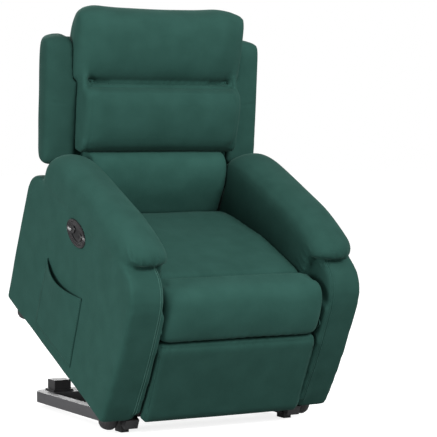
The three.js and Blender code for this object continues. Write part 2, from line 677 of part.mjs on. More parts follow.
function middleRoll() {
  const [low, high] = [604, 817];
  const outline = roundedOutline([
    [226, low, 45], [212, (low + high) / 2, 60], [230, high, 50], [boardFront(high) - 1, high, 22],
    [boardFront(low) - 1, low, 22],
  ]);
  const anchor = { height: (low + high) / 2, line: () => 290 };
  const keep = [0.6, 0.93];
  const ends = [-1, 1].map((side) => ({ plane: side * MIDDLE_HALF_WIDTH, reach: 45, keep }));
  const roll = cushion(outline, anchor, ends);
  const trims = [1, -1].map((side) => block(onSide(side, [BETWEEN_ARMS, 300]), [180, 330], [590, 638]));
  return cut(roll, ...trims);
}

// A wing stands beside the rolls, its face a little behind theirs, and thins towards its outer edge.
function wing(side) {
  const outline = roundedOutline([
    [274, 553, 24], [290, 700, 60], [312, 812, 60], [334, 942, 40],
    [470, 936, 50], [436, 760, 60], [386, 553, 40],
  ]);
  const anchor = { height: 750, line: (z) => 290 + (z - 600) * 0.18 };
  const inner = MIDDLE_HALF_WIDTH + 1;
  const whole = cushion(outline, anchor, [
    { plane: side * inner, reach: 10, keep: [0.96, 0.99] },
    { plane: side * WING_OUTER, reach: 80, keep: [0.14, 0.95] },
  ]);
  const besideHead = block(onSide(side, [inner - 5, HEAD_HALF_WIDTH + 1]), [200, 600], [812, 1000]);
  return cut(whole, besideHead);
}

function backBracket(side) {
  const outline = straightOutline([
    [238, 352], [256, 345], [276, 352], [334, 380], [334, 470], [318, 470],
    [300, 420], [256, 385], [240, 378],
  ]);
  const plate = acrossX(outline, onSide(side, BACK_BRACKET_PLANE));
  return join(plate, pin(side, BACK_BRACKET_PLANE, SIDE_PLATE_PLANE, BACK_HINGE));
}

function buildBack(seat) {
  const lean = new THREE.Group();
  lean.position.set(0, ...BACK_HINGE);
  lean.rotation.x = -radians(REST_RECLINE);
  seat.add(lean);
  const back = new THREE.Group();
  back.position.set(0, -BACK_HINGE[0], -BACK_HINGE[1]);
  lean.add(back);

  add(back, 'back_frame', backFrame(), plywood());
  add(back, 'back_rear_cover', rearCover(), fabric());
  add(back, 'head_roll', headRoll(), fabric());
  add(back, 'middle_roll', middleRoll(), fabric());
  add(back, 'lumbar_roll', lumbarRoll(), fabric());
  bothSides((name, side) => {
    add(back, `wing_${name}`, wing(side), fabric());
    add(back, `back_bracket_${name}`, backBracket(side), linkSteel());
  });
}

// ---- Footrest -----------------------------------------------------------------------------

const FOOTREST_FRONT = -410;
const FOOTREST_BOARD = [-372, -360];

function footrestBoard() {
  const halfWidth = FOOTREST_ARM_PLANE[1];
  const board = block([-halfWidth, halfWidth], FOOTREST_BOARD, [75, 300]);
  const arm = new THREE.Shape();
  arm.moveTo(-372, 240);
  arm.lineTo(-360, 240);
  arm.lineTo(-360, 310);
  arm.absarc(...FOOTREST_HINGE, 13, 0, Math.PI, false);
  arm.lineTo(-385, 330);
  arm.lineTo(-372, 305);
  const arms = [1, -1].map((side) => acrossX(arm, onSide(side, FOOTREST_ARM_PLANE)));
  const pins = [1, -1].map((side) => pin(side, FOOTREST_ARM_PLANE, SIDE_PLATE_PLANE, FOOTREST_HINGE));
  const lugOutline = barOutline([FOOTREST_BOARD[1] - 2, LEG_ROD_PIN[1]], LEG_ROD_PIN, 9);
  return join(board, ...arms, ...pins, acrossX(lugOutline, [LEG_X - 5, LEG_X + 5]));
}

function footrestPad() {
  const [rear, low, high, corner] = [FOOTREST_BOARD[0] - GAP * 2, 57, 320, 24];
  const outline = new THREE.Shape();
  outline.moveTo(rear, high);
  outline.lineTo(FOOTREST_FRONT + corner, high);
  outline.absarc(FOOTREST_FRONT + corner, high - corner, corner, Math.PI / 2, Math.PI, false);
  outline.absarc(FOOTREST_FRONT + corner, low + corner, corner, Math.PI, Math.PI * 1.5, false);
  outline.lineTo(rear, low);
  return acrossX(outline, [-FRONT_HALF_WIDTH, FRONT_HALF_WIDTH], 8);
}

// ---- Assembly -----------------------------------------------------------------------------

const chair = new THREE.Group();
buildFloorFrame(chair);
buildLiftLinkage(chair);
addActuator(chair, 'lift', LIFT_MOTOR_PIVOT, RAISED_ROD_PIN, {
  x: 0, tubeRadius: 24, tubeLength: 352, rodRadius: 10, rodStart: 165,
  motorRadius: 26, motorSide: 1, tailReach: 36, lugHalfWidth: 6,
});

const seat = new THREE.Group();
const [seatY, seatZ] = raised([0, 0]);
seat.position.set(0, seatY, seatZ);
seat.rotation.x = radians(RAISED_TILT);
chair.add(seat);
buildSteelwork(seat);
buildUpholsteredBody(seat);
buildBack(seat);
add(seat, 'footrest_board', footrestBoard(), plywood());
add(seat, 'footrest_pad', footrestPad(), fabric());

// Where the back lever's pin stands with the back leaned to its rest angle.
const leverOffset = turned(
  [RECLINE_ROD_PIN[0] - BACK_HINGE[0], RECLINE_ROD_PIN[1] - BACK_HINGE[1]], -radians(REST_RECLINE));
const leverPin = [BACK_HINGE[0] + leverOffset[0], BACK_HINGE[1] + leverOffset[1]];
addActuator(seat, 'recline', RECLINE_MOTOR_PIVOT, leverPin, {
  x: RECLINE_X, tubeRadius: 18, tubeLength: 400, rodRadius: 8, rodStart: 150,
  motorRadius: 22, motorSide: -1, tailReach: 31, lugHalfWidth: 5,
});
addActuator(seat, 'leg', LEG_MOTOR_PIVOT, LEG_ROD_PIN, {
  x: LEG_X, tubeRadius: 18, tubeLength: 225, rodRadius: 8, rodStart: 75,
  motorRadius: 22, motorSide: 1, tailReach: 31, lugHalfWidth: 5,
});

// The lift tips the seat forward over the base, so the box's middle is forward of the base's.
chair.updateMatrixWorld(true);
const box = new THREE.Box3().setFromObject(chair, true);
chair.position.y = -(box.min.y + box.max.y) / 2;

export default chair;
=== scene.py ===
import json
import math

import bpy
import numpy as np
from mathutils import Matrix, Vector, noise
from mathutils.bvhtree import BVHTree


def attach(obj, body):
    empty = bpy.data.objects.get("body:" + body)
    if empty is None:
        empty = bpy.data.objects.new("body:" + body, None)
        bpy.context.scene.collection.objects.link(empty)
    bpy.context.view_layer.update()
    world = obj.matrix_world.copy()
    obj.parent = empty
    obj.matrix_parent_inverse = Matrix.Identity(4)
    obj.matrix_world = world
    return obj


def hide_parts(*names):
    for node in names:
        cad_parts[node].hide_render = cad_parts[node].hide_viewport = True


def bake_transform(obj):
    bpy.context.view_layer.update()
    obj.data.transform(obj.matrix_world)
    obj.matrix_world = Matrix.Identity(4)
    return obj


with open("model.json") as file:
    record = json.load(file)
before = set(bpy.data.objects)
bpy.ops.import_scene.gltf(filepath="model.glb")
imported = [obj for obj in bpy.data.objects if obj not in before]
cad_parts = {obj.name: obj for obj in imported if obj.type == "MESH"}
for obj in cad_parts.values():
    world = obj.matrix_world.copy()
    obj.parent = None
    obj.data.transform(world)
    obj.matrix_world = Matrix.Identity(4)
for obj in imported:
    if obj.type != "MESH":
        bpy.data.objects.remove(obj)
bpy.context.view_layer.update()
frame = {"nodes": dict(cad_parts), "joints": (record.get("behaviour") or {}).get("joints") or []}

# ---- Frames and driving values ----
# Soft pieces are shaped in the seat's lowered frame or the back's upright frame, in metres, and
# then turned into the row frame.

nodes = frame["nodes"]
joints = {joint["name"]: joint for joint in frame["joints"]}

SEAT_TILT = math.radians(24.77)
BACK_LEAN = math.radians(-10)
TILT_CENTRE = Vector((0, -0.34917, 0.06092))
BACK_HINGE = Vector((0, 0.256, 0.365))
ARM_PIVOT = Vector((0, -0.2923, 0.08006))

X, Y, Z = range(3)
FRONT, UP = (0, -1, 0), (0, 0, 1)
SIDES = (("left", 1), ("right", -1))


def turn_about(point, angle):
    return Matrix.Translation(point) @ Matrix.Rotation(angle, 4, "X") @ Matrix.Translation(-point)


BASE = Matrix.Translation(Vector(joints["lift"]["pos_m"]) - ARM_PIVOT)
SEAT = BASE @ turn_about(TILT_CENTRE, SEAT_TILT)
BACK = SEAT @ turn_about(BACK_HINGE, BACK_LEAN)


def local_box(name, place):
    """Lowest and highest corner of a CAD node in a local frame."""
    inverse = place.inverted()
    corners = np.array([inverse @ vertex.co for vertex in nodes[name].data.vertices])
    return Vector(corners.min(0)), Vector(corners.max(0))


# ---- Materials ----

def new_material(name):
    material = bpy.data.materials.new(name)
    material.use_nodes = True
    tree = material.node_tree
    shader = tree.nodes["Principled BSDF"]
    coords = tree.nodes.new("ShaderNodeTexCoord").outputs["Object"]
    return material, tree, shader, coords


def set_inputs(node, settings):
    for name, value in settings.items():
        node.inputs[name].default_value = value


def noise_node(tree, coords, scale, detail=2.0, roughness=0.5):
    texture = tree.nodes.new("ShaderNodeTexNoise")
    set_inputs(texture, {"Scale": scale, "Detail": detail, "Roughness": roughness})
    tree.links.new(coords, texture.inputs["Vector"])
    return texture.outputs["Fac"]


def ramp_node(tree, source, stops):
    ramp = tree.nodes.new("ShaderNodeValToRGB")
    while len(ramp.color_ramp.elements) < len(stops):
        ramp.color_ramp.elements.new(0.5)
    for element, (position, colour) in zip(ramp.color_ramp.elements, stops):
        element.position = position
        element.color = (*colour, 1)
    tree.links.new(source, ramp.inputs["Fac"])
    return ramp.outputs["Color"]


def mix_colour(tree, factor, first, second, blend="MIX"):
    mix = tree.nodes.new("ShaderNodeMix")
    mix.data_type = "RGBA"
    mix.blend_type = blend
    for socket, value in ((mix.inputs["Factor"], factor), (mix.inputs[6], first), (mix.inputs[7], second)):
        if isinstance(value, (int, float, tuple)):
            socket.default_value = value
        else:
            tree.links.new(value, socket)
    return mix.outputs[2]


def bump_node(tree, height, distance, strength=1.0, below=None):
    bump = tree.nodes.new("ShaderNodeBump")
    set_inputs(bump, {"Distance": distance, "Strength": strength})
    tree.links.new(height, bump.inputs["Height"])
    if below is not None:
        tree.links.new(below, bump.inputs["Normal"])
    return bump.outputs["Normal"]


FABRIC_DARK = (0.0135, 0.0455, 0.0370)
FABRIC_LIGHT = (0.0165, 0.0530, 0.0435)
FABRIC_SHEEN = (0.36, 0.62, 0.54)
PATCH_SCALE = 16
RIPPLE_SCALE = 55
PILE_SCALE = 1400


def velvet(name, dark=FABRIC_DARK, light=FABRIC_LIGHT):
    """Short-pile velvet: brushed patches, a fine pile and a soft bloom; the object's colour brightens or
    dims it as painted light and shade.
    """
    material, tree, shader, coords = new_material(name)
    patches = noise_node(tree, coords, PATCH_SCALE)
    pile = noise_node(tree, coords, PILE_SCALE)
    brushed = ramp_node(tree, patches, [(0.32, dark), (0.7, light)])
    speck = ramp_node(tree, pile, [(0.3, (0.82,) * 3), (0.7, (1.12,) * 3)])
    colour = mix_colour(tree, 0.6, brushed, speck, "MULTIPLY")
    # Multiplies in the object's colour, which holds the piece's painted light or shade.
    piece_light = tree.nodes.new("ShaderNodeObjectInfo")
    colour = mix_colour(tree, 1.0, colour, piece_light.outputs["Color"], "MULTIPLY")
    tree.links.new(colour, shader.inputs["Base Color"])
    set_inputs(shader, {
        "Roughness": 0.88, "Specular IOR Level": 0.08, "Sheen Weight": 0.10, "Sheen Roughness": 0.35,
        "Sheen Tint": (*FABRIC_SHEEN, 1)})
    ripples = noise_node(tree, coords, RIPPLE_SCALE, detail=3)
    soft = bump_node(tree, ripples, 0.0012, 0.35)
    fine = bump_node(tree, pile, 0.0002, 0.4, below=soft)
    tree.links.new(fine, shader.inputs["Normal"])
    return material


def painted_steel(name, colour, metallic=0.25, roughness=0.48):
    """Powder-coated steel: fine orange-peel, worn brighter along its edges."""
    material, tree, shader, coords = new_material(name)
    peel = noise_node(tree, coords, 700, detail=1)
    stains = noise_node(tree, coords, 14, detail=4, roughness=0.6)
    base = ramp_node(tree, stains, [
        (0.3, tuple(0.85 * c for c in colour)), (0.7, tuple(1.12 * c for c in colour))])
    edges = tree.nodes.new("ShaderNodeNewGeometry")
    worn = ramp_node(tree, edges.outputs["Pointiness"], [(0.52, (0, 0, 0)), (0.60, (0.5, 0.5, 0.5))])
    bright = (*(min(1, 2.4 * c) for c in colour), 1)
    shown = mix_colour(tree, worn, base, bright)
    tree.links.new(shown, shader.inputs["Base Color"])
    shader.inputs["Metallic"].default_value = metallic
    rough = ramp_node(tree, stains, [
        (0.2, (roughness - 0.08,) * 3), (0.8, (roughness + 0.1,) * 3)])
    tree.links.new(rough, shader.inputs["Roughness"])
    tree.links.new(bump_node(tree, peel, 0.0003, 0.5), shader.inputs["Normal"])
    return material


def moulded(name, colour, roughness, grain=900, coat=0.0):
    """Moulded plastic with a fine spark-eroded grain and faint scuffs."""
    material, tree, shader, coords = new_material(name)
    texture = noise_node(tree, coords, grain, detail=2)
    scuffs = noise_node(tree, coords, 40, detail=5, roughness=0.7)
    shade = ramp_node(tree, scuffs, [
        (0.35, tuple(0.85 * c for c in colour)), (0.75, tuple(1.2 * c for c in colour))])
    tree.links.new(shade, shader.inputs["Base Color"])
    rough = ramp_node(tree, scuffs, [
        (0.3, (max(0.04, roughness - 0.05),) * 3), (0.8, (roughness + 0.08,) * 3)])
    tree.links.new(rough, shader.inputs["Roughness"])
    set_inputs(shader, {"Coat Weight": coat, "Coat Roughness": 0.05})
    tree.links.new(bump_node(tree, texture, 0.0002, 0.3), shader.inputs["Normal"])
    return material


def plywood(name):
    """Birch plywood: long grain streaks under a thin matt lacquer."""
    material, tree, shader, coords = new_material(name)
    stretch = tree.nodes.new("ShaderNodeMapping")
    stretch.inputs["Scale"].default_value = (3, 60, 60)
    tree.links.new(coords, stretch.inputs["Vector"])
    grain = noise_node(tree, stretch.outputs["Vector"], 3, detail=6)
    shade = ramp_node(tree, grain, [(0.3, (0.34, 0.21, 0.11)), (0.7, (0.52, 0.36, 0.21))])
    tree.links.new(shade, shader.inputs["Base Color"])
    shader.inputs["Roughness"].default_value = 0.7
    tree.links.new(bump_node(tree, grain, 0.0004, 0.4), shader.inputs["Normal"])
    return material


def polished_rod(name):
    """Ground and plated rod steel with fine turning marks."""
    material, tree, shader, coords = new_material(name)
    marks = noise_node(tree, coords, 1200, detail=1)
    set_inputs(shader, {"Base Color": (0.62, 0.63, 0.65, 1), "Metallic": 1})
    rough = ramp_node(tree, marks, [(0.3, (0.18,) * 3), (0.8, (0.3,) * 3)])
    tree.links.new(rough, shader.inputs["Roughness"])
    tree.links.new(bump_node(tree, marks, 0.0001, 0.3), shader.inputs["Normal"])
    return material


MATERIALS = {
    "fabric": velvet("green_velvet"),
    # The seam thread is a lighter green than the cloth: a painted highlight along the seams.
    "highlit_thread": velvet("seam_thread_highlit", dark=(0.028, 0.076, 0.063), light=(0.036, 0.090, 0.075)),
    "base_steel": painted_steel("grey_powder_coat", (0.034, 0.034, 0.036), metallic=0.1),
    "link_steel": painted_steel("dark_link_coat", (0.028, 0.029, 0.031), metallic=0.4),
    "rod_steel": polished_rod("plated_rod"),
    "black_plastic": moulded("black_moulding", (0.018, 0.018, 0.019), 0.5),
    "gloss_plastic": moulded("gloss_moulding", (0.004, 0.004, 0.005), 0.2),
    "ring_metal": painted_steel("ring_metal", (0.06, 0.057, 0.06), metallic=0.5, roughness=0.3),
    "plywood": plywood("birch_plywood"),
}
SLOTS = {"highlit_thread": "fabric", "ring_metal": "gloss_plastic"}

# Painted light and shade: each piece's colour is scaled up or down so that it looks more or less brightly
# lit.
PAINTED_LIGHT_BY_PIECE = {
    "lumbar_cushion": 1.25,
    "wing_cushion_right": 0.80,
    "footrest_cushion": 0.90,
    "bolster_pad": 1.08,
    "arm_cover_left": 0.90,
    "back_rolls": 0.98,
}


def paint(piece, finish):
    piece.data.materials.clear()
    piece.data.materials.append(MATERIALS[finish])


def finish_piece(piece, body, finish, *replaced):
    """Gives a piece its material, its body, and the CAD nodes it stands for."""
    # The object's colour carries the piece's painted light or shade.
    piece.color = (*(PAINTED_LIGHT_BY_PIECE.get(piece.name, 1.0),) * 3, 1)
    paint(piece, finish)
    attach(piece, body)
    SLOTS.get(finish, finish)
    if replaced:
        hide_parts(*replaced)


def cover(piece, place, body, *replaced):
    """Puts a cushion shaped in a local frame in its place, as fabric on a body."""
    piece.data.transform(place)
    piece.data.update()
    finish_piece(piece, body, "fabric", *replaced)


def join_cloth(piece):
    """Gives a flap of fabric its material and bakes its placement into its mesh."""
    paint(piece, "fabric")
    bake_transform(piece)


# ---- Mesh helpers ----

def link(name, data):
    item = bpy.data.objects.new(name, data)
    bpy.context.scene.collection.objects.link(item)
    return item


def shade_smooth(mesh):
    mesh.polygons.foreach_set("use_smooth", [True] * len(mesh.polygons))
    mesh.update()


def mesh_piece(name, vertices, faces, place=BASE):
    mesh = bpy.data.meshes.new(name)
    mesh.from_pydata([tuple(v) for v in vertices], [], faces)
    mesh.validate()
    mesh.transform(place)
    shade_smooth(mesh)
    return link(name, mesh)


def apply_modifiers(piece):
    bpy.context.view_layer.update()
    evaluated = piece.evaluated_get(bpy.context.evaluated_depsgraph_get())
    mesh = bpy.data.meshes.new_from_object(evaluated)
    piece.modifiers.clear()
    piece.data = mesh
    return piece


def get_points(piece):
    points = np.empty(len(piece.data.vertices) * 3)
    piece.data.vertices.foreach_get("co", points)
    return points.reshape(-1, 3)


def set_points(piece, points):
    piece.data.vertices.foreach_set("co", points.ravel())
    piece.data.update()


def get_normals(piece):
    normals = np.empty(len(piece.data.vertices) * 3)
    piece.data.vertex_normals.foreach_get("vector", normals)
    return normals.reshape(-1, 3)


def relax(piece, rounds, strength=0.5):
    """Evens a mesh out, which rounds its edges off."""
    edges = np.empty(len(piece.data.edges) * 2, int)
    piece.data.edges.foreach_get("vertices", edges)
    first, second = edges.reshape(-1, 2).T
    points = get_points(piece)
    count = len(points)
    valence = np.bincount(first, minlength=count) + np.bincount(second, minlength=count)
    for _ in range(rounds):
        for axis in range(3):
            total = np.bincount(first, points[second, axis], count)
            total += np.bincount(second, points[first, axis], count)
            points[:, axis] += strength * (total / valence - points[:, axis])
    set_points(piece, points)


def surface_of(piece):
    points = get_points(piece)
    polygons = [tuple(polygon.vertices) for polygon in piece.data.polygons]
    return BVHTree.FromPolygons([tuple(p) for p in points], polygons)


def bare_copy(name, node_names, place, extra=()):
    """A new object holding CAD nodes' surfaces, and any extra solids, in a local frame."""
    vertices, faces = [], []
    inverse = place.inverted()
    for node_name in node_names:
        start = len(vertices)
        mesh = nodes[node_name].data
        vertices += [inverse @ vertex.co for vertex in mesh.vertices]
        faces += [[start + index for index in polygon.vertices] for polygon in mesh.polygons]
    for more_vertices, more_faces in extra:
        start = len(vertices)
        vertices += more_vertices
        faces += [[start + index for index in face] for face in more_faces]
    return mesh_piece(name, vertices, faces, Matrix.Identity(4))


def remesh(piece, voxel):
    modifier = piece.modifiers.new("Remesh", "REMESH")
    modifier.mode = "VOXEL"
    modifier.voxel_size = voxel
    return apply_modifiers(piece)


def subdivide(piece, levels=1):
    modifier = piece.modifiers.new("Subdivide", "SUBSURF")
    modifier.levels = levels
    modifier.render_levels = levels
    apply_modifiers(piece)
    shade_smooth(piece.data)
    return piece


def dent(piece, amount):
    """Moves every point along its own normal by amount(points, normals), in metres."""
    points = get_points(piece)
    normals = get_normals(piece)
    set_points(piece, points + normals * amount(points, normals)[:, None])


def bell(distance, width):
    return np.exp(-(distance / width) ** 2)


def ease(value, low, high):
    t = np.clip((value - low) / (high - low), 0, 1)
    return t * t * (3 - 2 * t)


def facing(normals, axis, gain=1.0):
    """How far the cloth faces along an axis (negative gain: the other way), from 0 to 1."""
    return np.clip(gain * normals[:, axis], 0, 1)


SEED_STEP = Vector((3.1, 1.7, 5.3))


def waviness(points, scale, seed):
    """Smooth noise over the points, about -1 to 1."""
    offset = seed * SEED_STEP
    return np.array([noise.noise(Vector(point) * scale + offset) for point in points])


# ---- Stuffing the cushions ----

VOXEL = 0.006
SWELL_FRAMES = 20
CLOTH = {
    "quality": 5, "mass": 0.3, "tension_stiffness": 12, "compression_stiffness": 8,
    "bending_stiffness": 0.5, "use_pressure": True, "uniform_pressure_force": 4.0}
# How far the swelling may drag a sewn edge, and the share of its height that every point keeps.
EDGE_SLIP = 0.0015
EDGE_SHARE = 0.6


class Stuffed:
    """A cushion: CAD solids remeshed, drawn in, blown up as cloth and scaled to the room they have."""

    def __init__(self, name, node_names, place, shrink, cap, proud, relaxing=4, extra=()):
        self.cap = cap
        self.proud = proud
        self.shrink = shrink
        self.piece = bare_copy(name, node_names, place, extra)
        remesh(self.piece, VOXEL)
        relax(self.piece, relaxing)
        dent(self.piece, lambda points, normals: np.full(len(points), -shrink))
        self.start = get_points(self.piece)
        self.normals = get_normals(self.piece)

    def prepare(self):
        cloth = self.piece.modifiers.new("Cloth", "CLOTH")
        for name, value in CLOTH.items():
            setattr(cloth.settings, name, value)
        cloth.settings.effector_weights.gravity = 0
        cloth.point_cache.frame_start = 1
        cloth.point_cache.frame_end = SWELL_FRAMES

    def settle(self, swollen):
        """Scales the swelling to the room above the cushion, and holds its sewn edges in place."""
        move = swollen - self.start
        rise = (move * self.normals).sum(1)
        slide = move - rise[:, None] * self.normals
        length = np.linalg.norm(slide, axis=1)
        slide *= (EDGE_SLIP * np.tanh(length / EDGE_SLIP) / np.maximum(length, 1e-9))[:, None]
        rise = np.minimum(rise, self.cap)
        crown = np.where(rise > 0, self.proud * rise / rise.max(), EDGE_SLIP * np.tanh(rise / EDGE_SLIP))
        lift = self.shrink + EDGE_SHARE * self.proud + (1 - EDGE_SHARE) * crown
        self.piece.modifiers.clear()
        set_points(self.piece, self.start + lift[:, None] * self.normals + slide)
        relax(self.piece, 2)
        subdivide(self.piece)


def swell(cushions):
    """Blows all the cushions up together, then keeps each one within its room."""
    scene = bpy.context.scene
    scene.frame_start = 1
    scene.frame_end = SWELL_FRAMES
    for cushion in cushions:
        cushion.prepare()
    for number in range(1, SWELL_FRAMES + 1):
        scene.frame_set(number)
    graph = bpy.context.evaluated_depsgraph_get()
    swollen = [get_points(cushion.piece.evaluated_get(graph)) for cushion in cushions]
    for cushion, points in zip(cushions, swollen):
        cushion.settle(points)
    scene.frame_set(1)


# ---- Filling pieces sewn into the cushions ----

head_low, _ = local_box("head_roll", BACK)
middle_low, middle_high = local_box("middle_roll", BACK)
lumbar_low, lumbar_high = local_box("lumbar_roll", BACK)
bolster_low, bolster_high = local_box("front_bolster", SEAT)
foot_low, foot_high = local_box("footrest_pad", SEAT)
arm_low, arm_high = local_box("arm_pad_left", SEAT)
panel_low, panel_high = local_box("side_panel_left", SEAT)
plate_low, _ = local_box("mechanism_plate_left", SEAT)

INSIDE = 0.001                       # filling pieces stop this far inside their cushion's faces
GUSSET_WIDTH = 0.018
GUSSET_DEPTH = 0.09
# How far the gusset's front stands behind the middle roll's front, by height from the valley.
GUSSET_LINE = ((-0.210, 0.053), (-0.178, 0.051), (-0.160, 0.036), (-0.110, 0.022), (-0.040, 0.032),
               (0.0, 0.054), (0.040, 0.066), (0.150, 0.085))


def roll_gusset(side):
    """The strip between the back rolls' ends, which closes the valley there."""
    outer = middle_high.x - INSIDE
    inner = outer - GUSSET_WIDTH
    section = ((inner, GUSSET_DEPTH), (inner, 0.006), (inner + 0.008, 0.0), (outer - 0.010, 0.0),
               (outer, 0.010), (outer, GUSSET_DEPTH))
    ring = len(section)
    vertices = []
    for height, behind in GUSSET_LINE:
        front = middle_low.y + behind
        level = head_low.z + height
        vertices += [Vector((side * across, front + depth, level)) for across, depth in section]
    faces = []
    for row in range(len(GUSSET_LINE) - 1):
        for step in range(ring):
            first, other = row * ring + step, row * ring + (step + 1) % ring
            faces.append((first, first + ring, other + ring, other)[::-side])
    faces.append(tuple(range(ring))[::-side])
    faces.append(tuple((len(GUSSET_LINE) - 1) * ring + step for step in range(ring))[::side])
    return vertices, faces


def prism(outline, planes):
    """A solid with an outline of (y, z) points between two planes across X: vertices and faces."""
    count = len(outline)
    vertices = [Vector((plane, y, z)) for plane in planes for y, z in outline]
    faces = [(k, (k + 1) % count, (k + 1) % count + count, k + count) for k in range(count)]
    faces += [tuple(reversed(range(count))), tuple(range(count, 2 * count))]
    return vertices, faces


def box_outline(front, rear, low, high):
    return [(front, low), (front, high), (rear, high), (rear, low)]


def from_corner(y, z, offsets):
    """An outline given as steps back and up from one corner."""
    return [(y + back, z + up) for back, up in offsets]


def roll_corner(side):
    """The middle roll's lower end, which fills out down to the arm."""
    outline = from_corner(middle_low.y, middle_low.z, (
        (0.016, 0.045), (0.019, 0.012), (0.036, INSIDE), (0.090, INSIDE), (0.090, 0.045)))
    return prism(outline, sorted((side * (lumbar_high.x - 0.004), side * (middle_high.x - INSIDE))))


def lumbar_flange(side):
    """The lumbar roll's cloth carries on outwards behind the arm's rear end."""
    low, high = lumbar_low.z + 0.085, lumbar_high.z + 0.036
    outline = [(lumbar_high.y - 0.066, low), (lumbar_high.y - 0.056, high),
               (lumbar_high.y - 0.016, high), (lumbar_high.y - 0.040, low)]
    return prism(outline, sorted((side * (lumbar_high.x - 0.012), side * (middle_high.x + 0.034))))


def bolster_corner(side):
    """The bolster's rear corner fills out under the arm pad."""
    outline = box_outline(bolster_high.y - 0.045, bolster_high.y - INSIDE,
                          bolster_high.z - 0.050, bolster_high.z - 0.012)
    return prism(outline, sorted((side * (bolster_high.x - 0.040), side * (bolster_high.x - INSIDE))))


def middle_shelf():
    """The middle roll's top edge is squarer than its lower one."""
    outline = from_corner(middle_low.y, middle_high.z, (
        (0.015, -0.026), (0.019, -0.012), (0.032, -0.004), (0.080, -0.004), (0.080, -0.026)))
    return prism(outline, (-middle_high.x + 0.026, middle_high.x - 0.026))


def foot_border():
    """The footrest's padding is square-edged all round."""
    outline = box_outline(foot_low.y + 0.008, foot_high.y - INSIDE,
                          foot_low.z + INSIDE, foot_high.z - INSIDE)
    return prism(outline, (-foot_high.x + 0.002, foot_high.x - 0.002))


def arm_fillings():
    """What joins the left pad to its panel."""
    # The panel's outer cloth carries on up over the pad's side.
    outer = prism([(0.272, 0.500), (0.272, 0.560), (0.150, 0.577), (-0.080, 0.577), (-0.172, 0.560),
                   (-0.200, 0.500)], (panel_high.x - 0.022, panel_high.x))
    # The pad's inner face reaches down beside the seat.
    inner = prism([(0.250, 0.396), (0.250, 0.470), (-0.285, 0.470), (-0.285, 0.425)],
                  (arm_low.x + INSIDE, arm_low.x + 0.024))
    # The panel's front edge wraps inwards round the mechanism plate.
    wrap = prism([(-0.391, 0.080), (-0.403, 0.200), (-0.4085, 0.300), (-0.409, 0.415), (-0.360, 0.430),
                  (-0.360, 0.080)], (plate_low.x - 0.0025, panel_low.x + 0.012))
    # Stuffing between the pad and the panel's top.
    fill = prism([(0.280, 0.505), (0.280, 0.530), (-0.235, 0.545), (-0.235, 0.520)],
                 (panel_low.x + 0.002, panel_high.x - 0.002))
    return [outer, inner, wrap, fill]


def both(shape):
    return [shape(side) for side in (1, -1)]


cushions = {
    "rolls": Stuffed(
        "back_rolls", ["head_roll", "middle_roll"], BACK, shrink=0.003, cap=0.026, proud=0.006,
        relaxing=3, extra=both(roll_gusset) + both(roll_corner) + [middle_shelf()]),
    "lumbar": Stuffed(
        "lumbar_cushion", ["lumbar_roll"], BACK, shrink=0.003, cap=0.024, proud=0.005,
        extra=both(lumbar_flange)),
    "seat": Stuffed("seat_pad", ["seat_cushion"], SEAT, shrink=0.003, cap=0.024, proud=0.005),
    "bolster": Stuffed(
        "bolster_pad", ["front_bolster"], SEAT, shrink=0.003, cap=0.024, proud=0.005,
        extra=both(bolster_corner)),
    "footrest": Stuffed(
        "footrest_cushion", ["footrest_pad"], SEAT, shrink=0.002, cap=0.010, proud=0.004, relaxing=2,
        extra=[foot_border()]),
    "arm": Stuffed(
        "arm_cover_left", ["arm_pad_left", "side_panel_left"], SEAT, shrink=0.002, cap=0.022,
        proud=0.0025, relaxing=6, extra=arm_fillings()),
    "wing": Stuffed("wing_cushion_left", ["wing_left"], BACK, shrink=0.002, cap=0.018, proud=0.004),
}
swell(list(cushions.values()))


# ---- Dressing helpers ----

def mirrored(name, piece):
    """The same piece on the sitter's other side."""
    mesh = piece.data.copy()
    mesh.name = name
    mesh.transform(Matrix.Scale(-1, 4, (1, 0, 0)))
    mesh.flip_normals()
    return link(name, mesh)


def gathers(piece, line_axis, line_at, towards, depth, seed, reach=0.02, spacing=0.03):
    """Short ripples square to a seam that runs along X, at line_at on line_axis."""

    def amount(points, normals):
        away = np.abs(points[:, line_axis] - line_at)
        wander = waviness(points * np.array([1, 0.3, 0.3]), 14, seed)
        strength = ease(waviness(points, 9, seed + 5), -0.15, 0.45)
        shown = np.clip(normals @ np.array(towards), 0, 1)
        wave = np.sin(points[:, X] / spacing * 2 * math.pi + 4 * wander)
        return depth * wave * bell(away, reach) * strength * shown

    dent(piece, amount)


def soften(piece, depth, scale, seed):
    """Broad shallow unevenness of stuffing under cloth."""
    dent(piece, lambda points, normals: depth * waviness(points, scale, seed))


FOLD_STOPS = 15
FOLD_REACH = 0.10                    # nothing further than this from a fold's middle moves
FOLD_TROUGH = 0.55                   # depth of the hollows beside a fold, as a share of its height


def folds(piece, lines, width, depth):
    """Soft ridges in the cloth along short lines, each fading out towards its far end."""
    surface = surface_of(piece)
    stops = np.linspace(0, 1, FOLD_STOPS)
    tracks = []
    for start, end in lines:
        track = [surface.find_nearest(Vector(start).lerp(Vector(end), stop))[0] for stop in stops]
        tracks.append(np.array(track))

    def amount(points, normals):
        total = np.zeros(len(points))
        for track in tracks:
            near = np.linalg.norm(points - track.mean(0), axis=1) < FOLD_REACH
            gap = np.linalg.norm(points[near][:, None] - track[None], axis=2)
            nearest = gap.argmin(1)
            away = gap[np.arange(len(gap)), nearest]
            fade = (1 - stops[nearest] ** 2) * ease(stops[nearest], -0.1, 0.15)
            total[near] += (bell(away, width) - FOLD_TROUGH * bell(away, 2 * width)) * fade
        return depth * total

    dent(piece, amount)


def crease(piece, axis, level, width, depth, where=None):
    """Draws the cloth in along a plane square to an axis, as a sewn line does."""

    def amount(points, normals):
        strength = 1 if where is None else where(points, normals)
        return -depth * bell(points[:, axis] - level, width) * strength

    dent(piece, amount)


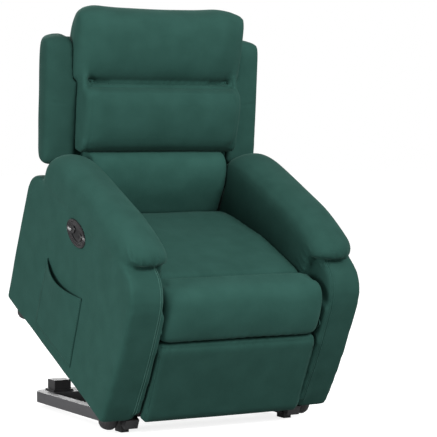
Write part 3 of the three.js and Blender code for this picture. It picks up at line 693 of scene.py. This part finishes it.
def seam_path(surface, plane, centre, first, last, count, sink=0.0):
    """Points round a surface, in the plane X = plane, from one angle about a centre to another."""
    path = []
    for step in range(count):
        angle = first + (last - first) * step / (count - 1)
        ray = Vector((0, math.cos(angle), math.sin(angle)))
        where, normal, _, _ = surface.ray_cast(Vector((plane, *centre)) + ray, -ray)
        if where is not None:
            path.append(where - normal * sink)
    return path


def cord(name, path, radius, place=SEAT, closed=False, sides=8, across=Vector((1, 0, 0))):
    """A round cord laid along a path."""
    count = len(path)
    vertices, faces = [], []
    for index, point in enumerate(path):
        before = path[index - 1] if closed or index else point
        after = path[(index + 1) % count] if closed or index < count - 1 else point
        ahead = (after - before).normalized()
        side = ahead.cross(across).normalized()
        up = side.cross(ahead)
        for turn in range(sides):
            angle = 2 * math.pi * turn / sides
            vertices.append(point + radius * (math.cos(angle) * side + math.sin(angle) * up))
    for index in range(count if closed else count - 1):
        ring, following = index * sides, (index + 1) % count * sides
        for turn in range(sides):
            other = (turn + 1) % sides
            faces.append((ring + turn, ring + other, following + other, following + turn))
    if not closed:
        faces.append(tuple(range(sides)))
        faces.append(tuple((count - 1) * sides + turn for turn in reversed(range(sides))))
    return mesh_piece(name, vertices, faces, place)


def stitches(name, path, outward, length=0.0045, gap=0.0035, radius=0.0006):
    """A row of short threads along a path, standing a little proud of the cloth."""
    vertices, faces = [], []
    travelled, due = 0.0, 0.0
    for start, end in zip(path, path[1:]):
        step = (end - start).length
        ahead = (end - start).normalized() if step else Vector(UP)
        side = ahead.cross(outward).normalized()
        while due < travelled + step:
            base = start + ahead * (due - travelled) + outward * radius
            ring = len(vertices)
            for far in (0, length):
                for across, up in ((-1, 0), (0, 1), (1, 0), (0, -1)):
                    vertices.append(base + ahead * far + (side * across + outward * up) * radius)
            for first, other in ((0, 1), (1, 2), (2, 3), (3, 0)):
                faces.append((ring + first, ring + other, ring + 4 + other, ring + 4 + first))
            faces += [(ring + 3, ring + 2, ring + 1, ring), (ring + 4, ring + 5, ring + 6, ring + 7)]
            due += length + gap
        travelled += step
    return mesh_piece(name, vertices, faces, SEAT)


def sheet(name, columns, rows, point_at, thickness):
    """A cloth sheet in the seat's frame: a grid of points given thickness."""
    vertices, faces = [], []
    for row in range(rows + 1):
        for column in range(columns + 1):
            vertices.append(point_at(column / columns, row / rows))
    for row in range(rows):
        for column in range(columns):
            corner = row * (columns + 1) + column
            faces.append((corner, corner + 1, corner + columns + 2, corner + columns + 1))
    piece = mesh_piece(name, vertices, faces, SEAT)
    modifier = piece.modifiers.new("Thickness", "SOLIDIFY")
    modifier.thickness = thickness
    modifier.offset = 0
    apply_modifiers(piece)
    return piece


# ---- The back ----

wing_low, wing_high = local_box("wing_left", BACK)
cover_low, cover_high = local_box("back_rear_cover", BACK)
HEAD_OVERHANG = 0.008                # how far the head roll's stuffing hangs over the valley
valley = head_low.z - HEAD_OVERHANG
gusset_line = middle_high.x - GUSSET_WIDTH


def curl_under(piece, seam_level, depth, above=0.045, below=0.007):
    """Draws a roll's face in towards the seam below it, well above the seam and just under it."""

    def amount(points, normals):
        height = points[:, Z] - seam_level
        inside = ease(gusset_line + 0.02 - np.abs(points[:, X]), 0, 0.03)
        shown = facing(normals, Y, -1.5)
        return -depth * shown * bell(height, np.where(height > 0, above, below)) * inside

    dent(piece, amount)


def dress_rolls():
    """The head and middle rolls, one cover with a sewn valley between them."""
    piece = cushions["rolls"].piece
    soften(piece, depth=0.0018, scale=7, seed=1)

    def crown(points, normals):
        """The crown dips between two filled-out ears."""
        across = np.abs(points[:, X])
        height = 0.006 * bell(across - 0.225, 0.05) - 0.004 * bell(across, 0.15)
        return height * facing(normals, Z) * ease(points[:, Z] - head_low.z, 0.1, 0.15)

    def along_valley(points, normals):
        return facing(normals, Y, -2) * ease(gusset_line + 0.004 - np.abs(points[:, X]), 0, 0.012)

    def below_valley(points, normals):
        return facing(normals, Y, -1) * ease(valley + 0.05 - points[:, Z], 0, 0.05)

    dent(piece, crown)
    points = get_points(piece)
    points[:, Z] -= HEAD_OVERHANG * bell(points[:, Z] - head_low.z, 0.05)
    set_points(piece, points)
    curl_under(piece, valley, 0.008)
    curl_under(piece, middle_low.z, 0.006)
    crease(piece, Z, valley, width=0.0035, depth=0.006, where=along_valley)
    for _, side in SIDES:
        crease(piece, X, side * gusset_line, width=0.004, depth=0.0016, where=below_valley)
    gathers(piece, Z, valley, FRONT, depth=0.0012, seed=3, spacing=0.027)
    cover(piece, BACK, "back", "head_roll", "middle_roll")


def dress_lumbar():
    piece = cushions["lumbar"].piece
    soften(piece, depth=0.0020, scale=7, seed=3)
    gathers(piece, Z, lumbar_high.z, FRONT, depth=0.0010, seed=5, reach=0.018)
    cover(piece, BACK, "back", "lumbar_roll")


def dress_wings():
    left = cushions["wing"].piece
    soften(left, depth=0.0014, scale=9, seed=4)
    # A shallow tuck in the wing's cover, low down.
    tuck = ((wing_high.x - 0.01, wing_low.y + 0.02, wing_low.z + 0.2),
            (wing_low.x + 0.03, wing_low.y + 0.02, wing_low.z + 0.19))
    folds(left, [tuck], width=0.006, depth=-0.0016)
    right = mirrored("wing_cushion_right", left)
    for (side_name, _), piece in zip(SIDES, (left, right)):
        cover(piece, BACK, "back", f"wing_{side_name}")


PANEL_SEAMS = (-0.14, 0.14)
ZIP_HEIGHT = 0.06


def back_shell():
    """The outside back: a padded cover sewn in three panels, zipped along its lower edge."""
    piece = bare_copy("back_shell", ["back_rear_cover"], BACK)
    remesh(piece, VOXEL)
    relax(piece, 5)
    subdivide(piece)

    def rear(points, normals):
        return facing(normals, Y)

    def padding(points, normals):
        from_side = ease(cover_high.x - np.abs(points[:, X]), 0, 0.12)
        from_bottom = ease(points[:, Z] - cover_low.z, 0.02, 0.14)
        from_top = ease(cover_high.z - points[:, Z], 0.0, 0.12)
        return 0.009 * rear(points, normals) * from_side * from_bottom * from_top

    dent(piece, padding)
    soften(piece, depth=0.0014, scale=6, seed=31)
    for level in PANEL_SEAMS:
        crease(piece, X, level, width=0.005, depth=0.004, where=rear)
    zip_level = cover_low.z + ZIP_HEIGHT
    crease(piece, Z, zip_level, width=0.004, depth=0.003, where=rear)
    surface = surface_of(piece)
    path = []
    for share in np.linspace(-1, 1, 60):
        across = share * (cover_high.x - 0.02)
        where = surface.ray_cast(Vector((across, 1, zip_level)), Vector((0, -1, 0)))[0]
        if where is not None:
            path.append(where)
    cover(piece, BACK, "back", "back_rear_cover")
    zip_line = cord("back_zip", path, 0.0022, BACK, across=Vector(UP))
    finish_piece(zip_line, "back", "black_plastic")


dress_rolls()
dress_lumbar()
dress_wings()
back_shell()


# ---- The seat ----

seat_low, _ = local_box("seat_cushion", SEAT)
WELT_INSET = 0.005
WELT_SPAN = (0.55 * math.pi, 1.45 * math.pi)
PIPING = 0.0018


def upward(points, normals):
    return facing(normals, Z)


def dress_seat():
    piece = cushions["seat"].piece
    soften(piece, depth=0.0022, scale=7, seed=6)
    crease(piece, Y, seat_low.y, width=0.010, depth=0.004, where=upward)
    gathers(piece, Y, seat_low.y, UP, depth=0.0010, seed=8)
    cover(piece, SEAT, "seat_unit", "seat_cushion")


def dress_bolster():
    piece = cushions["bolster"].piece
    soften(piece, depth=0.0020, scale=7, seed=7)

    def between_arms(points, normals):
        return upward(points, normals) * ease(bolster_high.x - np.abs(points[:, X]), 0.02, 0.05)

    crease(piece, Y, bolster_high.y, width=0.008, depth=0.004, where=between_arms)
    gathers(piece, Y, bolster_high.y, UP, depth=0.0010, seed=9)
    gathers(piece, Z, bolster_low.z, FRONT, depth=0.0012, seed=10, reach=0.022)
    cover(piece, SEAT, "seat_unit", "front_bolster")


def dress_footrest():
    """The footrest's pad, seamed along its top, with a welt down each side."""
    piece = cushions["footrest"].piece
    soften(piece, depth=0.0012, scale=8, seed=8)
    gathers(piece, Z, foot_high.z, FRONT, depth=0.0012, seed=11, reach=0.022, spacing=0.035)
    welt_line = foot_high.x - WELT_INSET
    for _, side in SIDES:
        crease(piece, X, side * welt_line, width=0.004, depth=0.002)
    crease(piece, Z, foot_high.z - 0.010, width=0.004, depth=0.0016,
           where=lambda points, normals: facing(normals, Y, -1))
    surface = surface_of(piece)
    centre = ((foot_low.y + foot_high.y) / 2, (foot_low.z + foot_high.z) / 2)
    for side_name, side in SIDES:
        path = seam_path(surface, side * welt_line, centre, *WELT_SPAN, count=70, sink=0.0003)
        finish_piece(cord(f"footrest_cord_{side_name}", path, PIPING), "footrest", "fabric")
    cover(piece, SEAT, "footrest", "footrest_pad")


def leg_flap():
    """Loose cloth from under the bolster to the back of the footrest's top edge."""
    top = Vector((0, bolster_low.y + 0.060, bolster_low.z + 0.010))
    tail = Vector((0, foot_high.y - 0.004, foot_high.z - 0.035))
    half_width = foot_high.x - 0.004

    def point_at(u, v):
        y = top.y + (tail.y - top.y) * v
        z = top.z + (tail.z - top.z) * v ** 1.6
        return Vector(((2 * u - 1) * half_width, y, z - 0.004 * math.sin(math.pi * v)))

    piece = sheet("leg_flap", 40, 12, point_at, 0.002)
    join_cloth(piece)


dress_seat()
dress_bolster()
dress_footrest()
leg_flap()


# ---- The arms and side panels ----

control_low, control_high = local_box("control_bezel", SEAT)
FOLD_SLOPE = 0.8
# Folds round the pad's nose: distance in from its outer side, slant inwards, and length.
NOSE_FOLDS = ((0.004, 0.010, 0.070), (0.020, 0.018, 0.052), (0.047, 0.012, 0.030), (0.088, 0.006, 0.036))
DROP_FOLDS = 4
SEAM_INSETS = (0.007, 0.0135)
SEAM_SPAN = (0.795 * math.pi, 1.16 * math.pi)
NEEDLE_SEAM = 0.0015


def arm_folds(piece, side):
    """Gathers at the pad's nose and where its inner face tucks down beside the panel."""
    front, top = arm_low.y, panel_high.z
    nose = [
        ((side * (arm_high.x - inset), front + 0.006, top + 0.014),
         (side * (arm_high.x - inset - slant), front + 0.006 + length, top + 0.016 + FOLD_SLOPE * length))
        for inset, slant, length in NOSE_FOLDS]
    folds(piece, nose, width=0.0055, depth=0.0046)
    drop = [
        ((side * (arm_low.x + 0.034 - 0.009 * k), front + 0.010 + 0.016 * k, top - 0.004 - 0.016 * k),
         (side * (arm_low.x + 0.006), front + 0.080 + 0.010 * k, top + 0.030 - 0.018 * k))
        for k in range(DROP_FOLDS)]
    folds(piece, drop, width=0.0050, depth=0.0042)


def control_seat(piece):
    """Sinks the right panel's cloth under the control's rim."""
    centre, half = (control_low + control_high) / 2, (control_high - control_low) / 2
    points = get_points(piece)
    reach = np.hypot((points[:, Y] - centre.y) / half.y, (points[:, Z] - centre.z) / half.z)
    sunk = (points[:, X] < control_low.x + 0.02) & (reach < 1.0)
    points[sunk, X] = np.maximum(points[sunk, X], control_low.x + 0.0075)
    set_points(piece, points)


def front_seams(piece, side_name, side):
    """Twin needle seams up the inner edge of the panel's front."""
    centre = (0, (panel_low.z + panel_high.z) / 2)
    surface = surface_of(piece)
    # Only the seams on the sitter's right take the lighter thread, as a painted highlight; the left ones
    # keep the cloth's own colour.
    finish = "highlit_thread" if side < 0 else "fabric"
    for number, inset in enumerate(SEAM_INSETS):
        path = seam_path(surface, side * (panel_low.x + inset), centre, *SEAM_SPAN, count=90)
        seam = cord(f"panel_seam_{side_name}_{number + 1}", path, NEEDLE_SEAM, sides=6)
        finish_piece(seam, "seat_unit", finish)


def dress_arms():
    """Covers both arms, and returns the right cover's surface before it is placed."""
    left = cushions["arm"].piece
    soften(left, depth=0.0016, scale=8, seed=9)
    crease(left, X, panel_low.x + 0.010, width=0.006, depth=0.0016, where=lambda points, normals: (
        facing(normals, Y, -1.5) * (points[:, Z] < panel_high.z)))
    right = mirrored("arm_cover_right", left)
    control_seat(right)
    for (_, side), piece in zip(SIDES, (left, right)):
        arm_folds(piece, side)
    right_surface = surface_of(right)
    for (side_name, side), piece in zip(SIDES, (left, right)):
        front_seams(piece, side_name, side)
        cover(piece, SEAT, "seat_unit", f"arm_pad_{side_name}", f"side_panel_{side_name}")
    return right_surface


panel_surface = dress_arms()


# ---- Pocket ----

def pocket():
    """A flat pouch on the outside of the right panel; its mouth sags open towards the rear."""
    low, high = local_box("side_pocket", SEAT)
    mouth_dip, mouth_gape, belly, inset = 0.026, 0.0145, 0.0025, 0.02

    def point_at(u, v):
        y = high.y + (low.y - high.y) * u + 0.010 * (1 - v) * (1 - 2 * u) * 0.5 - 0.006 * (1 - v)
        top = high.z - 0.004 * (1 - u) - mouth_dip * math.sin(math.pi * u ** 0.85)
        z = low.z + (top - low.z) * v
        hang = math.sin(math.pi * min(1, u) ** 0.72)
        out = 0.0016 + mouth_gape * hang * v ** 4 + belly * math.sin(math.pi * u) * math.sin(math.pi * v)
        cloth = panel_surface.ray_cast(Vector((low.x - 0.1, y, z)), Vector((1, 0, 0)))[0]
        return Vector((cloth.x - out, y, z))

    piece = sheet("pocket_cloth", 44, 40, point_at, 0.0022)
    finish_piece(piece, "seat_unit", "fabric", "side_pocket")
    outward = Vector((-1, 0, 0))
    steps = 60
    edge = [point_at(inset, 1 - step / steps) for step in range(steps)]
    edge += [point_at(inset + (1 - 2 * inset) * step / steps, 0.015) for step in range(steps + 1)]
    edge += [point_at(1 - inset, step / steps) for step in range(1, steps + 1)]
    # The pocket's stitching takes the lighter thread, a painted highlight.
    row = stitches("pocket_stitching", [point + outward * 0.0011 for point in edge], outward)
    finish_piece(row, "seat_unit", "highlit_thread")
    hem = [point_at(step / steps, 0.995) + outward * 0.0004 for step in range(steps + 1)]
    finish_piece(cord("pocket_hem", hem, PIPING), "seat_unit", "fabric")


pocket()


# ---- Control ----

RING_STEP = 0.0022
CONTROL_STEPS = ((0.90, 0.825, RING_STEP), (0.80, 0.725, 0.0012), (0.70, 0.64, 0.0003))
OUT_OF_PANEL = Matrix(((0, 0, -1), (-1, 0, 0), (0, 1, 0)))


def face_centre(low, high):
    """The middle of a box's outer face, on the sitter's right."""
    return Vector((low.x, (low.y + high.y) / 2, (low.z + high.z) / 2))


def turned_piece(name, profile, centre, around, stretch=(1, 1)):
    """A (radius, height) profile turned round a centre; stretch makes the circle an oval."""
    vertices, faces = [], []
    for radius, height in profile:
        for step in range(around):
            angle = 2 * math.pi * step / around
            across, up = radius * math.cos(angle) * stretch[0], radius * math.sin(angle) * stretch[1]
            vertices.append(centre + OUT_OF_PANEL @ Vector((across, up, height)))
    for ring in range(len(profile) - 1):
        for step in range(around):
            low, other = ring * around + step, ring * around + (step + 1) % around
            faces.append((low, other, other + around, low + around))
    faces.append(tuple(reversed(range(around))))
    faces.append(tuple((len(profile) - 1) * around + step for step in range(around)))
    return mesh_piece(name, vertices, faces, SEAT)


def control():
    """A dished oval with stepped rings, and two dished push buttons in it."""
    centre = face_centre(control_low, control_high)
    _, half_length, half_height = (control_high - control_low) / 2
    profile = [(1.0, -0.009), (1.0, 0.0010), (0.985, 0.0026), (0.955, 0.0034), (0.92, 0.0030)]
    for outer, inner, height in CONTROL_STEPS:
        profile += [(outer, height - RING_STEP), (outer - 0.010, height)]
        profile += [(inner + 0.014, height - 0.0002), (inner, height - RING_STEP)]
    profile += [(0.62, -0.0016), (0.3, -0.0016), (0.02, -0.0016)]
    bezel = turned_piece("control_dish", profile, centre, 72, (half_length, half_height))
    finish_piece(bezel, "seat_unit", "gloss_plastic", "control_bezel")
    for number, (outer, inner, height) in enumerate(CONTROL_STEPS):
        share = (outer + inner) / 2
        ring = []
        for angle in np.linspace(0, 2 * math.pi, 73)[:-1]:
            across, up = share * half_length * math.cos(angle), share * half_height * math.sin(angle)
            ring.append(centre + OUT_OF_PANEL @ Vector((across, up, height - 0.0002)))
        inlay = cord(f"control_ring_{number + 1}", ring, 0.0008, closed=True)
        finish_piece(inlay, "seat_unit", "ring_metal")
    for name in ("raise_button", "lower_button"):
        button_low, button_high = local_box(name, SEAT)
        radius = (button_high.y - button_low.y) / 2
        face = [(radius, -0.004), (radius, -0.0009), (radius - 0.0008, -0.0001), (radius - 0.0022, 0),
                (radius * 0.6, -0.0007), (radius * 0.25, -0.0010), (0.0002, -0.0010)]
        cap = turned_piece(f"{name}_cap", face, face_centre(button_low, button_high), 40)
        finish_piece(cap, name, "gloss_plastic", name)


control()


# ---- Rear skirt ----

def rear_skirt():
    """A plain cloth apron that hangs behind the mechanism, hemmed at the bottom."""
    low, high = local_box("rear_skirt", SEAT)
    middle_y = (low.y + high.y) / 2

    def point_at(u, v):
        x = low.x + (high.x - low.x) * u
        z = low.z + (high.z - low.z) * v
        ripple = 0.0022 * math.sin(u * 37 + 2 * math.sin(v * 5)) * (1 - 0.8 * v)
        broad = 0.003 * math.sin(u * 11 + 1) * (1 - v)
        return Vector((x, middle_y + ripple + broad, z))

    steps = 90
    piece = sheet("rear_apron", steps, 24, point_at, 0.003)
    finish_piece(piece, "seat_unit", "fabric", "rear_skirt")
    # The apron's seams take the lighter thread, a painted highlight.
    for name, v in (("apron_hem", 0.07), ("apron_top_seam", 0.93)):
        path = [point_at(step / steps, v) + Vector((0, 0.0016, 0)) for step in range(steps + 1)]
        seam = cord(name, path, 0.0011, sides=6, across=Vector(UP))
        finish_piece(seam, "seat_unit", "highlit_thread")
    # A loose flap joins the leaning back's lower edge to the apron's top.
    back_in_seat = SEAT.inverted() @ BACK
    start = Vector((0, middle_y + 0.002, high.z - 0.012))
    end = back_in_seat @ Vector((0, cover_low.y + 0.020, cover_low.z + 0.045))

    def flap_at(u, v):
        at = start.lerp(end, v)
        sag = 0.012 * math.sin(math.pi * v) + 0.0018 * math.sin(u * 31) * math.sin(math.pi * v)
        return Vector((low.x + (high.x - low.x) * u * 0.996 + 0.001, at.y + sag, at.z))

    flap = sheet("back_flap", 80, 14, flap_at, 0.0025)
    join_cloth(flap)


rear_skirt()


# ---- Hard parts keep their CAD shape ----

FINISHED_NODES = {
    "base_steel": ("base_rail", "base_rear_member", "base_cross_bar"),
    "link_steel": (
        "base_pivot", "lift_arm", "lift_cross", "guide_link", "mechanism", "seat_front_rail",
        "seat_rear_rail", "back_bracket"),
    "rod_steel": ("lift_rod", "recline_rod", "leg_rod"),
    "black_plastic": (
        "base_front_foot", "base_rear_pad", "rear_rest", "lift_motor", "recline_motor", "leg_motor",
        "power_supply", "foot_", "panel_runner"),
    "fabric": ("back_frame", "footrest_board"),
    "plywood": ("seat_deck",),
}
EDGE_ROUND = {"base_steel": 0.004, "plywood": 0.002, "black_plastic": 0.002}
THIN_EDGE_ROUND = 0.0012
SHARP_ANGLE = math.radians(40)


def finish_hard_parts():
    for finish, starts in FINISHED_NODES.items():
        for node_name, piece in nodes.items():
            if piece.hide_render or not node_name.startswith(starts):
                continue
            paint(piece, finish)
            bevel = piece.modifiers.new("Edges", "BEVEL")
            bevel.width = EDGE_ROUND.get(finish, THIN_EDGE_ROUND)
            bevel.segments = 3 if finish == "base_steel" else 2
            bevel.limit_method = "ANGLE"
            bevel.angle_limit = SHARP_ANGLE


finish_hard_parts()


# ---- Stage, light and camera ----

FLOOR_TONE = 0.35
SKY_LIGHT = 0.55
LIGHTS = {                           # place, target, width in metres, watts
    "key": ((0.8, -3.9, 3.2), (0, 0, 0.8), 2.2, 275),
    "side": ((-4.0, -0.9, 0.8), (0, 0, 0.5), 1.6, 165),
    "fill": ((2.6, -3.0, 1.9), (0, 0, 0.9), 2.4, 12),
    "rear": ((0.8, 4.2, 2.2), (0, 0, 0.6), 2.2, 95),
    "top": ((0, -0.4, 3.4), (0, 0, 0.6), 2.4, 22),
}


def area_light(name, location, target, size, power):
    data = bpy.data.lights.new(name, "AREA")
    data.shape = "DISK"
    data.size = size
    data.energy = power
    lamp = link(name, data)
    lamp.location = location
    lamp.rotation_euler = (Vector(target) - Vector(location)).to_track_quat("-Z", "Y").to_euler()


def seen_only(tree):
    """1 for what the camera sees directly, 0 for light that bounces."""
    return tree.nodes.new("ShaderNodeLightPath").outputs["Is Camera Ray"]


def studio():
    """A seamless white studio: the backdrop and floor look white but light the chair softly."""
    reach = 30
    corners = [(-reach, -reach, 0), (reach, -reach, 0), (reach, reach, 0), (-reach, reach, 0)]
    floor = mesh_piece("floor", corners, [(0, 1, 2, 3)])
    material, tree, shader, coords = new_material("studio_floor")
    speckle = noise_node(tree, coords, 3)
    tone = ramp_node(tree, speckle, [
        (0.2, (FLOOR_TONE - 0.01,) * 3), (0.8, (FLOOR_TONE + 0.01,) * 3)])
    tree.links.new(tone, shader.inputs["Base Color"])
    set_inputs(shader, {"Roughness": 0.9, "Emission Color": (1, 1, 1, 1)})
    glow = tree.nodes.new("ShaderNodeMath")
    glow.operation = "MULTIPLY"
    glow.inputs[1].default_value = 1.02 - FLOOR_TONE * SKY_LIGHT
    tree.links.new(seen_only(tree), glow.inputs[0])
    tree.links.new(glow.outputs[0], shader.inputs["Emission Strength"])
    floor.data.materials.append(material)

    world = bpy.data.worlds.new("studio")
    world.use_nodes = True
    background = world.node_tree.nodes["Background"]
    background.inputs["Color"].default_value = (1, 1, 1, 1)
    strength = world.node_tree.nodes.new("ShaderNodeMapRange")
    set_inputs(strength, {"To Min": SKY_LIGHT, "To Max": 1.0})
    world.node_tree.links.new(seen_only(world.node_tree), strength.inputs["Value"])
    world.node_tree.links.new(strength.outputs["Result"], background.inputs["Strength"])
    bpy.context.scene.world = world
    for name, settings in LIGHTS.items():
        area_light(name, *settings)


VIEW_AZIMUTH = math.radians(-29.59)
VIEW_PITCH = math.radians(2.63)
VIEW_DISTANCE = 5.9464
VIEW_TARGET = BASE @ Vector((0.2163, 0, 0.6058))
LENS_IN_WIDTHS = 4.2393              # focal length as a multiple of the sensor's width


def camera():
    data = bpy.data.cameras.new("camera")
    data.lens = data.sensor_width * LENS_IN_WIDTHS
    data.clip_end = 100
    lens = link("camera", data)
    back = Vector((
        math.sin(VIEW_AZIMUTH) * math.cos(VIEW_PITCH),
        -math.cos(VIEW_AZIMUTH) * math.cos(VIEW_PITCH),
        math.sin(VIEW_PITCH)))
    lens.location = VIEW_TARGET + back * VIEW_DISTANCE
    lens.rotation_mode = "QUATERNION"
    lens.rotation_quaternion = (-back).to_track_quat("-Z", "Y")
    bpy.context.scene.camera = lens


studio()
camera()
bpy.context.scene.view_settings.view_transform = "Standard"
